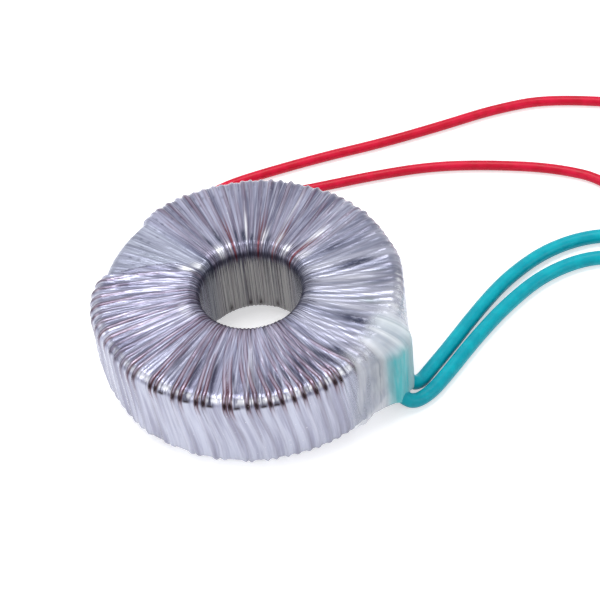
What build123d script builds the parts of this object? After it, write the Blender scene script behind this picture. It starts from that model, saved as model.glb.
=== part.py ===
"""Toroidal transformer: a strip-wound ring core with two windings under clear film, and four leads.

Millimetres, +Z up. The ring's axis is Z, and the part stands on the floor at Z = 0.
Angles are degrees round Z, counter-clockwise from +X seen from above.
"""

from build123d import *
import math
import os

# ---------------------------------------------------------------- driving dimensions

# Core: the ring of wound steel strip
core_outer_radius = 35.4
core_bore_radius = 18.2
core_height = 14.9
core_edge_radius = 0.5

# End caps: two moulded rings that insulate the core's edges
cap_wall = 0.8
cap_skirt = 5.0

# Layers over the core: thickness on the outer wall, on both flat faces and in the bore
core_wrap_thickness = 0.25
primary_on_wall = 1.3
primary_on_faces = 1.8
primary_in_bore = 2.5
interlayer_thickness = 0.3
film_thickness = 0.25

# Secondary: one layer of thick wire turns, side by side in the bore and spread out on the wall.
# The film stands up in a ridge over each turn, and is pulled down between them.
wire_diameter = 1.1
turn_root_thickness = 0.5
film_ridge_height = 0.6
turn_count = 78
turn_half_angle = 1.15
winding_start = 166.0
winding_arc = 325.0
pair_start = 188.0
pair_end = 262.0
pair_shift = 0.8
# Room between the wire and the layers round it, and the angle by which it ends short of the film
winding_clearance = 0.03
film_end_angle = 0.6
# Trimmed off the bottom crests, so that they stand flat
crest_flat = 0.08
# Film that is drawn into the bore and then cut away, so that the bore is one true cylinder
bore_allowance = 0.1

# Corners of every layer: flats to a corner, and how much of its thickness a layer adds at the
# bore's corners, which stay tighter than the outer ones
corner_facets = 2
bore_corner_share = 0.6

# Leads: insulation, bare end, and the sleeve over the joint with the winding
teal_diameter = 3.8
teal_conductor = 2.0
red_diameter = 2.8
red_conductor = 1.3
tip_length = 6.0
sleeve_wall = 0.3
sleeve_overlap = 3.0
sleeve_nose = 1.5
teal_sleeve_top = 21.5
teal_sleeve_length = 7.0
red_sleeve_top = 14.5
red_sleeve_length = 4.5

# Tape over the leads on the outer wall
tape_thickness = 0.3
tape_bottom = 7.0
tape_over_sleeve = 1.0
tape_foot_angle = 10.0
tape_lap_angle = 5.0
tape_clearance = 0.05

# Where the leads come down the wall
teal_angles = (-36.0, -29.8)
red_angles = (118.4, 113.6)

# Routes on the floor, as X and Y of each point after the bend at the foot of the wall
teal_a_route = [
    (37.6, -26.0),
    (42.6, -23.4),
    (48.0, -17.2),
    (56.2, -6.9),
    (66.0, 3.8),
    (77.5, 13.2),
    (91.0, 17.6),
    (103.0, 14.6),
    (110.4, 5.0),
    (111.2, -7.6),
    (107.6, -18.8),
    (101.0, -27.8),
    (92.6, -33.4),
]
teal_b_route = [
    (39.9, -20.0),
    (44.0, -15.0),
    (49.6, -8.2),
    (58.0, 2.6),
    (67.6, 13.4),
    (80.0, 22.2),
    (94.0, 25.4),
    (107.4, 21.4),
    (116.0, 10.6),
    (118.0, -2.6),
    (116.4, -14.2),
    (111.4, -24.4),
]
red_a_route = [
    (-21.2, 40.0),
    (-19.8, 46.4),
    (-13.6, 54.6),
    (-4.6, 60.2),
    (7.6, 63.6),
    (23.4, 67.2),
    (39.6, 70.0),
    (56.4, 74.0),
    (73.0, 78.6),
    (89.6, 80.4),
    (104.6, 76.4),
]
red_b_route = [
    (-17.8, 41.6),
    (-13.4, 47.2),
    (-4.8, 51.8),
    (6.4, 54.0),
    (20.6, 55.4),
    (36.6, 57.6),
    (53.4, 58.6),
    (70.0, 56.4),
    (86.6, 52.4),
    (100.0, 45.4),
    (107.6, 32.6),
]
# Height of the bend's first point over the floor, and the arc's share of the shorter run
bend_height = 5.8
arc_share = 0.45

# ---------------------------------------------------------------- derived sizes

winding_build = cap_wall + core_wrap_thickness + interlayer_thickness + wire_diameter
film_build = film_thickness + film_ridge_height
ring_outer_radius = core_outer_radius + winding_build + primary_on_wall + film_build
uncut_height = core_height + 2 * (winding_build + primary_on_faces + film_build)
mid_height = uncut_height / 2 - crest_flat
ring_height = uncut_height - crest_flat
bore_radius = core_bore_radius - winding_build - primary_in_bore - film_thickness
turn_pitch = winding_arc / turn_count


def grow(section, wall, face, bore):
    """The next layer's outline: each side of a ring section moves out by its own thickness."""
    outer_radius, bore_radius, half_height, outer_corner, bore_corner = section
    return (
        outer_radius + wall,
        bore_radius - bore,
        half_height + face,
        outer_corner + min(wall, face),
        bore_corner + bore_corner_share * min(bore, face),
    )


core_section = (
    core_outer_radius,
    core_bore_radius,
    core_height / 2,
    core_edge_radius,
    core_edge_radius,
)
cap_section = grow(core_section, cap_wall, cap_wall, cap_wall)
wrap_section = grow(cap_section, core_wrap_thickness, core_wrap_thickness, core_wrap_thickness)
primary_section = grow(wrap_section, primary_on_wall, primary_on_faces, primary_in_bore)
interlayer_section = grow(primary_section, interlayer_thickness, interlayer_thickness, interlayer_thickness)
turn_root_section = grow(
    interlayer_section,
    turn_root_thickness,
    turn_root_thickness,
    wire_diameter - winding_clearance,
)
winding_section = grow(interlayer_section, wire_diameter, wire_diameter, wire_diameter)
uncut_film_section = grow(winding_section, film_thickness, film_thickness, film_thickness + bore_allowance)
gap_film_section = grow(interlayer_section, film_thickness, film_thickness, film_thickness)


def radial_plane(angle):
    """The upright half plane at an angle round Z, with X pointing outwards and Y up."""
    a = math.radians(angle)
    return Plane(origin=(0, 0, 0), x_dir=(math.cos(a), math.sin(a), 0), z_dir=(math.sin(a), -math.cos(a), 0))


def corner_point(section, quarter, step):
    """One point on a faceted corner, as radius and height. Quarter 0 is the top outer corner."""
    outer_radius, bore_radius, half_height, outer_corner, bore_corner = section
    outside = quarter in (0, 3)
    upper = quarter in (0, 1)
    radius = outer_corner if outside else bore_corner
    centre_r = outer_radius - radius if outside else bore_radius + radius
    centre_z = mid_height + (half_height - radius) * (1 if upper else -1)
    a = math.radians(90 * (quarter + step / corner_facets))
    return centre_r + radius * math.cos(a), centre_z + radius * math.sin(a)


def section_points(section, ridge_height=0):
    """A closed ring section with faceted corners.

    A ridge lifts the outer corners by its full height. On the flat faces it falls away towards the
    axis as its width does, and it ends at the bore's corners.
    """
    outer_radius, bore_radius, half_height, outer_corner, bore_corner = section
    root_share = (bore_radius + bore_corner) / (outer_radius - outer_corner)
    points = []
    for quarter in range(4):
        for step in range(corner_facets + 1):
            a = math.radians(90 * (quarter + step / corner_facets))
            radius, height = corner_point(section, quarter, step)
            lift = ridge_height
            if quarter in (1, 2):
                on_face = (quarter, step) in ((1, 0), (2, corner_facets))
                lift = ridge_height * root_share if on_face else 0
            points.append((radius + lift * math.cos(a), height + lift * math.sin(a)))
    return points


def draw_section(section, mode=Mode.ADD):
    """A closed ring section, drawn in the current sketch."""
    Polygon(*section_points(section), align=None, mode=mode)


def layer_ring(outside, inside):
    """A full ring between two section outlines."""
    with BuildPart() as ring:
        with BuildSketch(Plane.XZ):
            draw_section(outside)
            draw_section(inside, mode=Mode.SUBTRACT)
        revolve(axis=Axis.Z)
    return ring.part


# ---------------------------------------------------------------- core and insulation

with BuildPart() as core:
    with BuildSketch(Plane.XZ):
        draw_section(core_section)
    revolve(axis=Axis.Z)

cap_middle_radius = (cap_section[0] + cap_section[1]) / 2
cap_width = cap_section[0] - cap_section[1]
cap_height = cap_wall + cap_skirt
with BuildPart() as core_cap_top:
    with BuildSketch(Plane.XZ):
        draw_section(cap_section)
        draw_section(core_section, mode=Mode.SUBTRACT)
        with Locations((cap_middle_radius, mid_height + cap_section[2] - cap_height / 2)):
            Rectangle(cap_width, cap_height, mode=Mode.INTERSECT)
    revolve(axis=Axis.Z)

with BuildPart() as core_cap_bottom:
    add(core_cap_top.part.mirror(Plane.XY.offset(mid_height)))

core_wrap = layer_ring(wrap_section, cap_section)
primary_winding = layer_ring(primary_section, wrap_section)
interlayer_wrap = layer_ring(interlayer_section, primary_section)

# ---------------------------------------------------------------- secondary turns and film


def turn_angles():
    """Where the turns lie. Along one stretch they were wound in pairs."""
    angles = []
    for turn in range(turn_count):
        angle = winding_start + turn_pitch * (turn + 0.5)
        if pair_start < angle < pair_end:
            angle += pair_shift * (1 if turn % 2 else -1)
        angles.append(angle)
    return angles


def wound_sector(section, ridge_height, end_angle=0):
    """The wound part of the ring as a solid sector, with a ridge round its section at each turn."""
    profiles = [(winding_start + end_angle, 0)]
    for angle in turn_angles():
        profiles += [
            (angle - turn_half_angle, 0),
            (angle, ridge_height),
            (angle + turn_half_angle, 0),
        ]
    profiles.append((winding_start + winding_arc - end_angle, 0))
    with BuildPart() as sector:
        for angle, lift in profiles:
            with BuildSketch(radial_plane(angle)):
                Polygon(*section_points(section, lift), align=None)
        loft(ruled=True, clean=False)
    return sector.part


with BuildPart() as secondary_winding:
    turn_height = wire_diameter - turn_root_thickness - winding_clearance
    add(wound_sector(turn_root_section, turn_height, film_end_angle))
    with BuildSketch(Plane.XZ):
        draw_section(interlayer_section)
    revolve(axis=Axis.Z, mode=Mode.SUBTRACT, clean=False)

# What the film is cut by: the wound ring inside it, the bore, and the floor under its crests
with BuildPart() as film_cutters:
    with BuildSketch(Plane.XZ):
        draw_section(interlayer_section)
    revolve(axis=Axis.Z, clean=False)
    with BuildSketch(radial_plane(winding_start + film_end_angle)):
        draw_section(winding_section)
    revolve(axis=Axis.Z, revolution_arc=winding_arc - 2 * film_end_angle, clean=False)
    with BuildSketch(Plane.XY):
        Circle(bore_radius)
    extrude(amount=ring_height)
    with BuildSketch(Plane.XY):
        Circle(ring_outer_radius + film_build)
    extrude(amount=-film_build)

with BuildPart() as outer_wrap:
    add(wound_sector(uncut_film_section, film_ridge_height))
    with BuildSketch(Plane.XZ):
        draw_section(gap_film_section)
    revolve(axis=Axis.Z, clean=False)
    add(film_cutters.part, mode=Mode.SUBTRACT, clean=False)

# ---------------------------------------------------------------- leads


def on_circle(radius, angle):
    """X and Y of the point at an angle on a circle round Z."""
    a = math.radians(angle)
    return radius * math.cos(a), radius * math.sin(a)


def wall_point(angle, lead_diameter, height):
    """A lead's centre where it lies on the outer wall, with room for its sleeve."""
    radius = ring_outer_radius + tape_clearance + sleeve_wall + lead_diameter / 2
    return *on_circle(radius, angle), height


def lead(name, diameter, angle, sleeve_top, sleeve_length, floor_route):
    """An insulated lead: down the wall, round at its foot and along the floor."""
    start_height = sleeve_top - sleeve_nose - sleeve_length + sleeve_overlap
    points = [
        Vector(*wall_point(angle, diameter, start_height)),
        Vector(*wall_point(angle, diameter, bend_height)),
    ]
    points += [Vector(x, y, diameter / 2) for x, y in floor_route]
    radii = []
    for before, here, after in zip(points, points[1:], points[2:]):
        turn = (here - before).get_angle(after - here)
        shorter = min((here - before).length, (after - here).length)
        radii.append(arc_share * shorter / math.tan(math.radians(turn / 2)))
    with BuildPart() as tube:
        with BuildLine() as path:
            FilletPolyline(*points, radius=radii)
        with BuildSketch(Plane(origin=points[0], z_dir=(0, 0, -1))):
            Circle(diameter / 2)
        sweep(path=path.wires()[0])
    tube.part.label = name
    length = path.wires()[0].length
    expected = math.pi * diameter**2 / 4 * length
    print(name, "length", round(length, 1), "volume/expected", round(tube.part.volume / expected, 4))
    print("  radii in diameters", [round(radius / diameter, 1) for radius in radii])
    return tube.part, points


def lead_tip(name, conductor, points):
    """The bare, tinned end of a lead's conductor."""
    with BuildPart() as tip:
        with BuildSketch(Plane(origin=points[-1], z_dir=points[-1] - points[-2])):
            Circle(conductor / 2)
        extrude(amount=tip_length)
        chamfer(tip.edges().filter_by(GeomType.CIRCLE).sort_by_distance(points[-1])[-1], conductor / 8)
    tip.part.label = name
    return tip.part


def joint_sleeve(name, diameter, angle, sleeve_top, sleeve_length):
    """The sleeve over a joint: open below for the lead, drawn in to a nose above."""
    foot_height = sleeve_top - sleeve_nose - sleeve_length
    with BuildPart() as sleeve:
        with BuildSketch(Plane(origin=wall_point(angle, diameter, foot_height), z_dir=(0, 0, 1))):
            Circle(diameter / 2 + sleeve_wall)
        extrude(amount=sleeve_length)
        extrude(sleeve.faces().sort_by(Axis.Z)[-1], amount=sleeve_nose, taper=30)
        with BuildSketch(Plane(origin=wall_point(angle, diameter, foot_height), z_dir=(0, 0, 1))):
            Circle(diameter / 2)
        extrude(amount=sleeve_overlap, mode=Mode.SUBTRACT)
    sleeve.part.label = name
    return sleeve.part


def lead_tape(name, diameter, angles, sleeve_top):
    """Tape stretched over a pair of leads and down to the ring's wall on both sides."""
    low, high = min(angles) - tape_foot_angle, max(angles) + tape_foot_angle
    feet = [on_circle(ring_outer_radius, a) for a in (low, high)]
    laps = [on_circle(2 * ring_outer_radius, a) for a in (low - tape_lap_angle, high + tape_lap_angle)]
    with BuildPart() as tape:
        with BuildSketch(Plane.XY.offset(tape_bottom)):
            for growth, mode in ((tape_thickness, Mode.ADD), (0, Mode.SUBTRACT)):
                with BuildSketch(mode=mode):
                    with Locations(*[wall_point(angle, diameter, 0)[:2] for angle in angles]):
                        Circle(diameter / 2 + sleeve_wall + tape_clearance + growth)
                    with Locations(*feet):
                        Circle(tape_clearance + growth)
                    make_hull()
                    Circle(ring_outer_radius + growth)
            Polygon((0, 0), *laps, align=None, mode=Mode.INTERSECT)
        extrude(amount=sleeve_top + tape_over_sleeve - tape_bottom)
    tape.part.label = name
    return tape.part


pieces = {
    "core": core.part,
    "core_cap_top": core_cap_top.part,
    "core_cap_bottom": core_cap_bottom.part,
    "core_wrap": core_wrap,
    "primary_winding": primary_winding,
    "interlayer_wrap": interlayer_wrap,
    "secondary_winding": secondary_winding.part,
    "outer_wrap": outer_wrap.part,
    "teal_lead_tape": lead_tape("teal_lead_tape", teal_diameter, teal_angles, teal_sleeve_top),
    "red_lead_tape": lead_tape("red_lead_tape", red_diameter, red_angles, red_sleeve_top),
}

teal_joint = (teal_sleeve_top, teal_sleeve_length)
red_joint = (red_sleeve_top, red_sleeve_length)
lead_plans = [
    ("teal_lead_a", teal_diameter, teal_conductor, teal_angles[0], teal_joint, teal_a_route),
    ("teal_lead_b", teal_diameter, teal_conductor, teal_angles[1], teal_joint, teal_b_route),
    ("red_lead_a", red_diameter, red_conductor, red_angles[0], red_joint, red_a_route),
    ("red_lead_b", red_diameter, red_conductor, red_angles[1], red_joint, red_b_route),
]
for name, diameter, conductor, angle, joint, route in lead_plans:
    pieces[name], points = lead(name, diameter, angle, *joint, route)
    pieces[name + "_tip"] = lead_tip(name + "_tip", conductor, points)
    pieces[name + "_sleeve"] = joint_sleeve(name + "_sleeve", diameter, angle, *joint)

# ---------------------------------------------------------------- files

os.makedirs("parts", exist_ok=True)
for name, piece in pieces.items():
    piece.label = name
    export_step(piece, f"parts/{name}.step")
print("ring", round(2 * ring_outer_radius, 2), "x", round(ring_height, 2), "bore", round(2 * bore_radius, 2))
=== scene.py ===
# %% [markdown]
# # A toroidal transformer, dressed for its picture
#
# The part is a ring core with two windings under clear film. Two thick teal leads and two thinner red
# leads come off its wall. The exact solids are loaded first and stay as they are. This lesson gives
# them their finish, and makes the pieces whose surface is too lively for a plain solid: the crinkled
# film over the turns, the tape on the leads, and the leads themselves.

# %% Load the part
import math

import bpy
import bmesh
import numpy as np
from mathutils import Matrix, Vector


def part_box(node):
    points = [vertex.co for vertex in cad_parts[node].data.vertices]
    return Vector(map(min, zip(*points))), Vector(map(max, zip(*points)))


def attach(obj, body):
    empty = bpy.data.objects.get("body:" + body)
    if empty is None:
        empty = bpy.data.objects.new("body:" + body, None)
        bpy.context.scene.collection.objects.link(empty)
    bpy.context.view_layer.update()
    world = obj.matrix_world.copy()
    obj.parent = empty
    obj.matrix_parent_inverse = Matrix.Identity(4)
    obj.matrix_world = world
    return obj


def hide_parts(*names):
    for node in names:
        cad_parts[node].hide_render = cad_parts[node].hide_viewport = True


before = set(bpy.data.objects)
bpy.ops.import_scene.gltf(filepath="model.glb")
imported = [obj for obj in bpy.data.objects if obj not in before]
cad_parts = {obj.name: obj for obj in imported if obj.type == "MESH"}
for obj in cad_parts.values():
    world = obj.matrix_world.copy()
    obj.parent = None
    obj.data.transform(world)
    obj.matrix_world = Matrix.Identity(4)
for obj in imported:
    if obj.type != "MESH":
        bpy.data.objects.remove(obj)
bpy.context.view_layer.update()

# %% [markdown]
# ## Sizes
#
# The new pieces are laid out in millimetres, in the frame of the solids. The far corner of the film's
# own box is printed, because the radius and the heights written here have to agree with it.

# %% Sizes of the ring
MM = 0.001
wall_radius = 40.0
middle = 12.47
film_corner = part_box("outer_wrap")[1]
print("film reaches", round(film_corner.x / MM, 2), "mm out and", round(film_corner.z / MM, 2), "mm up")

# %% [markdown]
# ## Camera
#
# The picture looks down on the ring at about 47 degrees, from a long way off, with the camera turned a
# little on its own axis. A long lens keeps the ring's far side nearly as wide as its near side. The
# camera is placed by three directions: to its right, up in its picture, and forwards.

# %% Camera
camera_drop = math.radians(47.35)
camera_roll = math.radians(-6.46)
camera_distance = 628 * MM
side_step, up_step = -11.96 * MM, -4.24 * MM
camera_target = Vector((0, 0, 12.54 * MM))
lens_length, sensor_width = 146.35, 36

level = Vector((1, 0, 0))
forward = Vector((0, math.cos(camera_drop), -math.sin(camera_drop)))
upright = Vector((0, math.sin(camera_drop), math.cos(camera_drop)))
picture_right = math.cos(camera_roll) * level + math.sin(camera_roll) * upright
picture_up = -math.sin(camera_roll) * level + math.cos(camera_roll) * upright
camera_place = camera_target - (
    side_step * picture_right + up_step * picture_up + camera_distance * forward
)
camera_data = bpy.data.cameras.new("camera")
camera_data.lens = lens_length
camera_data.sensor_width = sensor_width
camera = bpy.data.objects.new("camera", camera_data)
bpy.context.scene.collection.objects.link(camera)
camera.matrix_world = Matrix.Translation(camera_place) @ Matrix(
    (picture_right, picture_up, -forward)
).transposed().to_4x4()
bpy.context.scene.camera = camera

# %% [markdown]
# ## Selecting as by hand
#
# An operator acts on whatever is selected. The loaded solids start selected, so everything is let go
# first. Later, corners and edges are picked by a test on their place.


# %% Helpers for selecting
def let_go():
    """Leave edit mode and deselect everything."""
    if bpy.context.object and bpy.context.object.mode != "OBJECT":
        bpy.ops.object.mode_set(mode="OBJECT")
    bpy.ops.object.select_all(action="DESELECT")


def take(piece):
    """Make one piece the only selected and active one."""
    let_go()
    piece.select_set(True)
    bpy.context.view_layer.objects.active = piece


def pick(piece, test, kind="verts"):
    """In edit mode, select the corners or edges whose middle passes a test."""
    mesh = bmesh.from_edit_mesh(piece.data)
    for group in (mesh.faces, mesh.edges, mesh.verts):
        for item in group:
            item.select = False
    for item in getattr(mesh, kind):
        corners = [item] if kind == "verts" else item.verts
        if test(sum((v.co for v in corners), Vector()) / len(corners)):
            item.select_set(True)
    bmesh.update_edit_mesh(piece.data)


def take_all():
    """Select the whole mesh."""
    bpy.ops.mesh.select_all(action="SELECT")


def settle(piece):
    """Apply the piece's place, turn and scale, so that its object sits at the origin."""
    take(piece)
    bpy.ops.object.transform_apply(location=True, rotation=True, scale=True)


def turn_selected(degrees, axis):
    """Turn what is selected about an axis through the origin."""
    bpy.ops.transform.rotate(value=math.radians(degrees), orient_axis=axis, center_override=(0, 0, 0))


def points_of(mesh):
    """The places of all corners of a mesh, one row each."""
    places = np.zeros(len(mesh.vertices) * 3, np.float32)
    mesh.vertices.foreach_get("co", places)
    return places.reshape(-1, 3).astype(float)


def set_points(mesh, places):
    """Move every corner of a mesh to a new place."""
    mesh.vertices.foreach_set("co", places.astype(np.float32).ravel())
    mesh.update()


def ring_places(radius, angle, height):
    """Places round the ring's axis, from radius, angle in radians and height."""
    return np.stack([radius * np.cos(angle), radius * np.sin(angle), height], 1)


let_go()

# %% [markdown]
# ## Finishes as trees of nodes
#
# Each finish is a small tree of nodes. These helpers add one node and join it up in a single line, so
# that a finish reads as a list of coats, one laid over the other.


# %% Helpers for finishes
def new_material(name):
    """An empty material, and its tree."""
    material = bpy.data.materials.new(name)
    material.use_nodes = True
    tree = material.node_tree
    tree.nodes.clear()
    return material, tree


def join(tree, socket, value):
    """Give an input a number or colour, or link another node's output to it."""
    if isinstance(value, bpy.types.NodeSocket):
        tree.links.new(value, socket)
    elif socket.type == "RGBA":
        socket.default_value = (*value, 1)
    else:
        socket.default_value = value


def add_node(tree, kind, inputs=None, **settings):
    """A node with its settings and inputs."""
    node = tree.nodes.new(kind)
    for key, value in settings.items():
        setattr(node, key, value)
    for key, value in (inputs or {}).items():
        join(tree, node.inputs[key], value)
    return node


def maths(tree, operation, first, second=None, clamp=False):
    inputs = {0: first}
    if second is not None:
        inputs[1] = second
    return add_node(tree, "ShaderNodeMath", inputs, operation=operation, use_clamp=clamp).outputs[0]


def times(tree, first, second, clamp=False):
    return maths(tree, "MULTIPLY", first, second, clamp)


def ramp(tree, value, low, high, out_low=0.0, out_high=1.0):
    """A smooth change from one value to another as the input goes from low to high."""
    return add_node(
        tree, "ShaderNodeMapRange",
        {"Value": value, "From Min": low, "From Max": high, "To Min": out_low, "To Max": out_high},
        interpolation_type="SMOOTHSTEP",
    ).outputs[0]


def coats(tree, colour, *layers):
    """A ground colour with coats laid over it, one by one. Each coat is its share and its colour."""
    for share, tone in layers:
        node = add_node(tree, "ShaderNodeMix", data_type="RGBA")
        for key, value in (("Factor", share), ("A", colour), ("B", tone)):
            join(tree, next(s for s in node.inputs if s.name == key and s.enabled), value)
        colour = next(s for s in node.outputs if s.enabled)
    return colour


def attribute(tree, name, out="Fac"):
    """A mask or direction that is stored on the mesh."""
    return add_node(tree, "ShaderNodeAttribute", attribute_name=name, attribute_type="GEOMETRY").outputs[out]


def stretched_noise(tree, place, scale, size, detail, roughness=0.55):
    """Noise on a place that is scaled differently in each direction."""
    moved = add_node(tree, "ShaderNodeMapping", {"Vector": place, "Scale": scale})
    return add_node(
        tree, "ShaderNodeTexNoise",
        {"Vector": moved.outputs[0], "Scale": size, "Detail": detail, "Roughness": roughness},
    ).outputs["Fac"]


def object_place(tree):
    return add_node(tree, "ShaderNodeTexCoord").outputs["Object"]


def bumped(tree, height, strength, distance, below=None):
    """The surface's direction, tilted as if the surface rose and fell with a value."""
    inputs = {"Strength": strength, "Distance": distance, "Height": height}
    if below is not None:
        inputs["Normal"] = below
    return add_node(tree, "ShaderNodeBump", inputs).outputs[0]


def surface(tree, inputs):
    """The shader and the output that end a tree."""
    shader = add_node(tree, "ShaderNodeBsdfPrincipled", inputs)
    add_node(tree, "ShaderNodeOutputMaterial", {"Surface": shader.outputs[0]})


def seen_directly(tree):
    """One for rays from the camera, from a gloss or through glass, nought for all others."""
    rays = add_node(tree, "ShaderNodeLightPath")
    seen = maths(tree, "MAXIMUM", rays.outputs["Is Camera Ray"], rays.outputs["Is Glossy Ray"])
    return maths(tree, "MAXIMUM", seen, rays.outputs["Is Transmission Ray"])


# %% [markdown]
# ## Floor
#
# A plain pale sheet that lets the part's soft shadow show. Where it is seen directly, a little glow
# lifts it to white. The glow lights nothing, so no extra light falls on the part.

# %% Floor and its finish
floor_width, floor_height = 6, -0.0002
floor_glow = 0.55
white = (1, 1, 1)

bpy.ops.mesh.primitive_plane_add(size=floor_width, location=(0, 0, floor_height))
floor = bpy.context.object
floor.name = "floor"
settle(floor)

floor_material, tree = new_material("floor_paper")
glow = times(tree, seen_directly(tree), floor_glow)
paper = add_node(tree, "ShaderNodeBsdfDiffuse", {"Color": (0.82, 0.82, 0.83)})
shine = add_node(tree, "ShaderNodeEmission", {"Color": white, "Strength": glow})
both = add_node(tree, "ShaderNodeAddShader", {0: paper.outputs[0], 1: shine.outputs[0]})
add_node(tree, "ShaderNodeOutputMaterial", {"Surface": both.outputs[0]})
floor.data.materials.append(floor_material)

# %% [markdown]
# ## Light
#
# A studio for shiny parts has large soft lamps: one above and a little behind, which draws the bright
# line along the ring's top corner, a wide one at the left, and a weak fill at the right. The room
# lights the part with an even grey, and is white where it is seen directly.


# %% Lamps and room
def lamp(name, place, target, size, power):
    """A square soft lamp that faces a target."""
    data = bpy.data.lights.new(name, "AREA")
    data.shape = "RECTANGLE"
    data.size, data.size_y = size
    data.energy = power
    light = bpy.data.objects.new(name, data)
    bpy.context.scene.collection.objects.link(light)
    towards = Vector(target) - Vector(place)
    light.rotation_euler = towards.to_track_quat("-Z", "Y").to_euler()
    light.location = place


lamp("lamp_above", (-0.05, 0.15, 0.75), (0, 0, 0), (0.55, 0.35), 4.2)
lamp("lamp_left", (-0.75, -0.25, 0.45), (0, 0, 0), (0.5, 0.5), 2.2)
lamp("lamp_right", (0.7, -0.45, 0.4), (0, 0, 0), (0.4, 0.4), 1.2)

room = bpy.data.worlds.new("room")
bpy.context.scene.world = room
room.use_nodes = True
tree = room.node_tree
tree.nodes.clear()
to_part = add_node(tree, "ShaderNodeBackground", {"Color": (0.93, 0.95, 1), "Strength": 0.38})
to_camera = add_node(tree, "ShaderNodeBackground", {"Color": white, "Strength": 1.0})
which = add_node(
    tree, "ShaderNodeMixShader",
    {0: seen_directly(tree), 1: to_part.outputs[0], 2: to_camera.outputs[0]},
)
add_node(tree, "ShaderNodeOutputWorld", {"Surface": which.outputs[0]})
bpy.context.scene.view_settings.view_transform = "Standard"

# %% [markdown]
# ## Leads
#
# Hook-up wire comes down the ring's wall under its tape, turns on the floor and runs off in a loose
# curve. A smooth spline follows the same few points as the solid tube does, and a round bevel gives it
# its thickness. The thick pair is 3.8 mm over its insulation, the thin pair 2.8 mm.

# %% Points of the leads
# For each lead: diameter over insulation, conductor, angle on the wall, points on the floor, all in mm
# and degrees, and the length in metres
wall_gap = 0.35
bend_height, mid_height = 5.8, 11.0
start_heights = {"teal": 16.0, "red": 11.5}
routes = {
    "teal_lead_a": (3.8, 2.0, -36.0, [
        (37.6, -26.0), (42.6, -23.4), (48.0, -17.2), (56.2, -6.9), (66.0, 3.8), (77.5, 13.2),
        (91.0, 17.6), (103.0, 14.6), (110.4, 5.0), (111.2, -7.6), (107.6, -18.8), (101.0, -27.8),
        (92.6, -33.4),
    ], 0.154),
    "teal_lead_b": (3.8, 2.0, -29.8, [
        (39.9, -20.0), (44.0, -15.0), (49.6, -8.2), (58.0, 2.6), (67.6, 13.4), (80.0, 22.2),
        (94.0, 25.4), (107.4, 21.4), (116.0, 10.6), (118.0, -2.6), (116.4, -14.2), (111.4, -24.4),
    ], 0.1506),
    "red_lead_a": (2.8, 1.3, 118.4, [
        (-21.2, 40.0), (-19.8, 46.4), (-13.6, 54.6), (-4.6, 60.2), (7.6, 63.6), (23.4, 67.2),
        (39.6, 70.0), (56.4, 74.0), (73.0, 78.6), (89.6, 80.4), (104.6, 76.4),
    ], 0.1497),
    "red_lead_b": (2.8, 1.3, 113.6, [
        (-17.8, 41.6), (-13.4, 47.2), (-4.8, 51.8), (6.4, 54.0), (20.6, 55.4), (36.6, 57.6),
        (53.4, 58.6), (70.0, 56.4), (86.6, 52.4), (100.0, 45.4), (107.6, 32.6),
    ], 0.1492),
}


def lead_place(name):
    """Where a lead stands against the wall, and its own radius, in mm."""
    diameter, _, angle, _, _ = routes[name]
    reach, a = wall_radius + wall_gap + diameter / 2, math.radians(angle)
    return reach * math.cos(a), reach * math.sin(a), diameter / 2


def lead_points(name):
    """The lead's points in metres: down the wall, then along the floor."""
    x, y, thick = lead_place(name)
    start_height = start_heights[name.split("_")[0]]
    points = [(x, y, start_height), (x, y, bend_height)]
    if start_height > 2 * bend_height:
        points.insert(1, (x, y, mid_height))
    points += [(px, py, thick) for px, py in routes[name][3]]
    return [tuple(v * MM for v in point) for point in points]


# %% Leads as smooth splines
def lead(name):
    """One lead's insulation: a spline with a round bevel."""
    diameter = routes[name][0]
    points = lead_points(name)
    curve = bpy.data.curves.new(name + "_jacket", "CURVE")
    curve.dimensions = "3D"
    spline = curve.splines.new("NURBS")
    spline.points.add(len(points) - 1)
    for point, place in zip(spline.points, points):
        point.co = (*place, 1)
        point.radius = diameter / 2 * MM
    spline.order_u = 3
    spline.use_endpoint_u = True
    spline.resolution_u = 12
    curve.bevel_depth = 1.0
    curve.bevel_resolution = 6
    curve.use_fill_caps = True
    piece = bpy.data.objects.new(name + "_jacket", curve)
    bpy.context.scene.collection.objects.link(piece)
    return piece


jackets = {name: lead(name) for name in routes}


# %% [markdown]
# ## Stranded ends
#
# The last 6 mm of each lead is stripped: a twisted bundle of thin tinned strands. One strand is swept as
# a helix, and the others are turned copies of it round a straight middle strand.


# %% Stranded ends
strand_count, strand_sides, strand_rows = 7, 8, 14
row_twist = -9
row_step = (0, 0, 6 * MM / strand_rows)
nearly_touching = 0.99


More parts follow.
